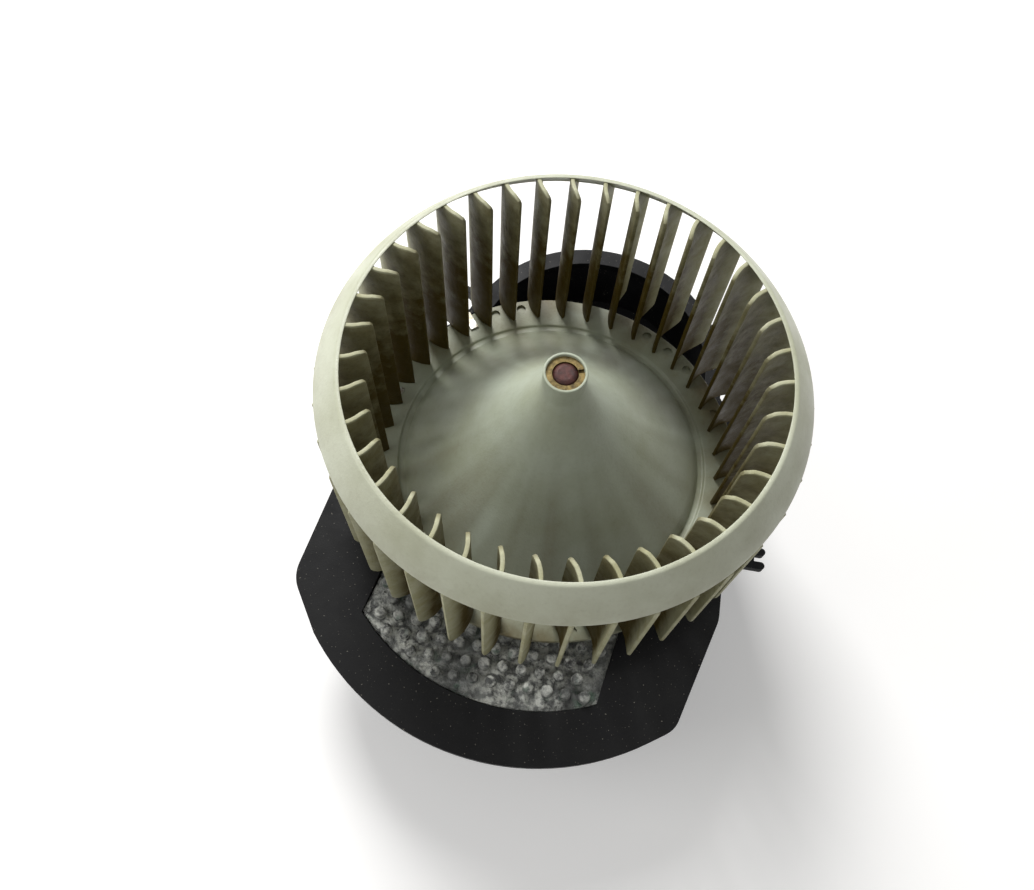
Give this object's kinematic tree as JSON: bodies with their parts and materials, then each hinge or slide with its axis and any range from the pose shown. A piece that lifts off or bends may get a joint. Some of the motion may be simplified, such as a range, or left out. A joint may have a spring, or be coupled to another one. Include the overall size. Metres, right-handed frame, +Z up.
{
  "type": "blower motor wheel",
  "caption": "Open-topped centrifugal blower wheel with curved blades and a domed hub, on a flange-mounted motor with a pinned heat sink.",
  "frame": {"origin": "on the spin axis, in the flat bottom of the motor, on which the unit stands", "axes": "+Z up the spin axis from the motor to the open side of the wheel; +Y towards the rear lobe of the flange; the heat sink lies towards -Y"},
  "size_m": [0.1643, 0.2078, 0.1354],
  "materials": {
    "wheel_plastic": "moulded polypropylene, ivory, satin",
    "insert_metal": "turned brass, dull",
    "clip_steel": "spring steel, bright",
    "shaft_steel": "steel, brown oxide",
    "core_steel": "stacked laminations",
    "winding_copper": "enamelled copper wire",
    "commutator_copper": "turned copper",
    "washer_plastic": "moulded nylon",
    "can_steel": "deep drawn, zinc plated",
    "ferrite": "sintered ferrite, matt",
    "bearing_bronze": "sintered bronze",
    "housing_plastic": "moulded glass-filled nylon, matt black",
    "card_plastic": "phenolic board",
    "carbon": "pressed carbon",
    "isolator_rubber": "moulded rubber",
    "screw_steel": "zinc plated",
    "flange_plastic": "moulded filled polypropylene, matt black",
    "cast_aluminium": "die cast, corroded",
    "gasket_foam": "closed-cell foam",
    "chip_plastic": "moulded epoxy",
    "board": "coated circuit board",
    "capacitor_sleeve": "shrunk sleeve",
    "terminal_tin": "tinned brass",
    "lead_insulation": "extruded insulation"
  },
  "bodies": {
    "housing": {"motor_can": "can_steel", "field_magnets": "ferrite", "upper_bearing": "bearing_bronze", "lower_bearing": "bearing_bronze", "bearing_retainers": "clip_steel", "end_cap": "housing_plastic", "brush_card": "card_plastic", "carbon_brushes": "carbon", "brush_springs": "clip_steel", "mounting_ring": "can_steel", "isolator_grommets": "isolator_rubber", "motor_screws": "screw_steel", "flange": "flange_plastic", "cooling_duct": "flange_plastic", "duct_screws": "screw_steel", "heat_sink": "cast_aluminium", "sink_gasket": "gasket_foam", "power_transistors": "chip_plastic", "control_board": "board", "filter_capacitor": "capacitor_sleeve", "suppression_choke": "winding_copper", "regulator_cover": "housing_plastic", "connector_terminals": "terminal_tin", "regulator_screws": "screw_steel", "motor_leads": "lead_insulation"},
    "rotor": {"inlet_ring": "wheel_plastic", "wheel_blades": "wheel_plastic", "wheel_hub": "wheel_plastic", "hub_insert": "insert_metal", "balance_clips": "clip_steel", "motor_shaft": "shaft_steel", "armature_core": "core_steel", "armature_windings": "winding_copper", "commutator": "commutator_copper", "thrust_washers": "washer_plastic"}
  },
  "joints": [
    {"name": "wheel_spin", "type": "hinge", "parent": "housing", "child": "rotor", "pos_m": [0, 0, 0], "axis": [0, 0, 1], "continuous": true}
  ]
}
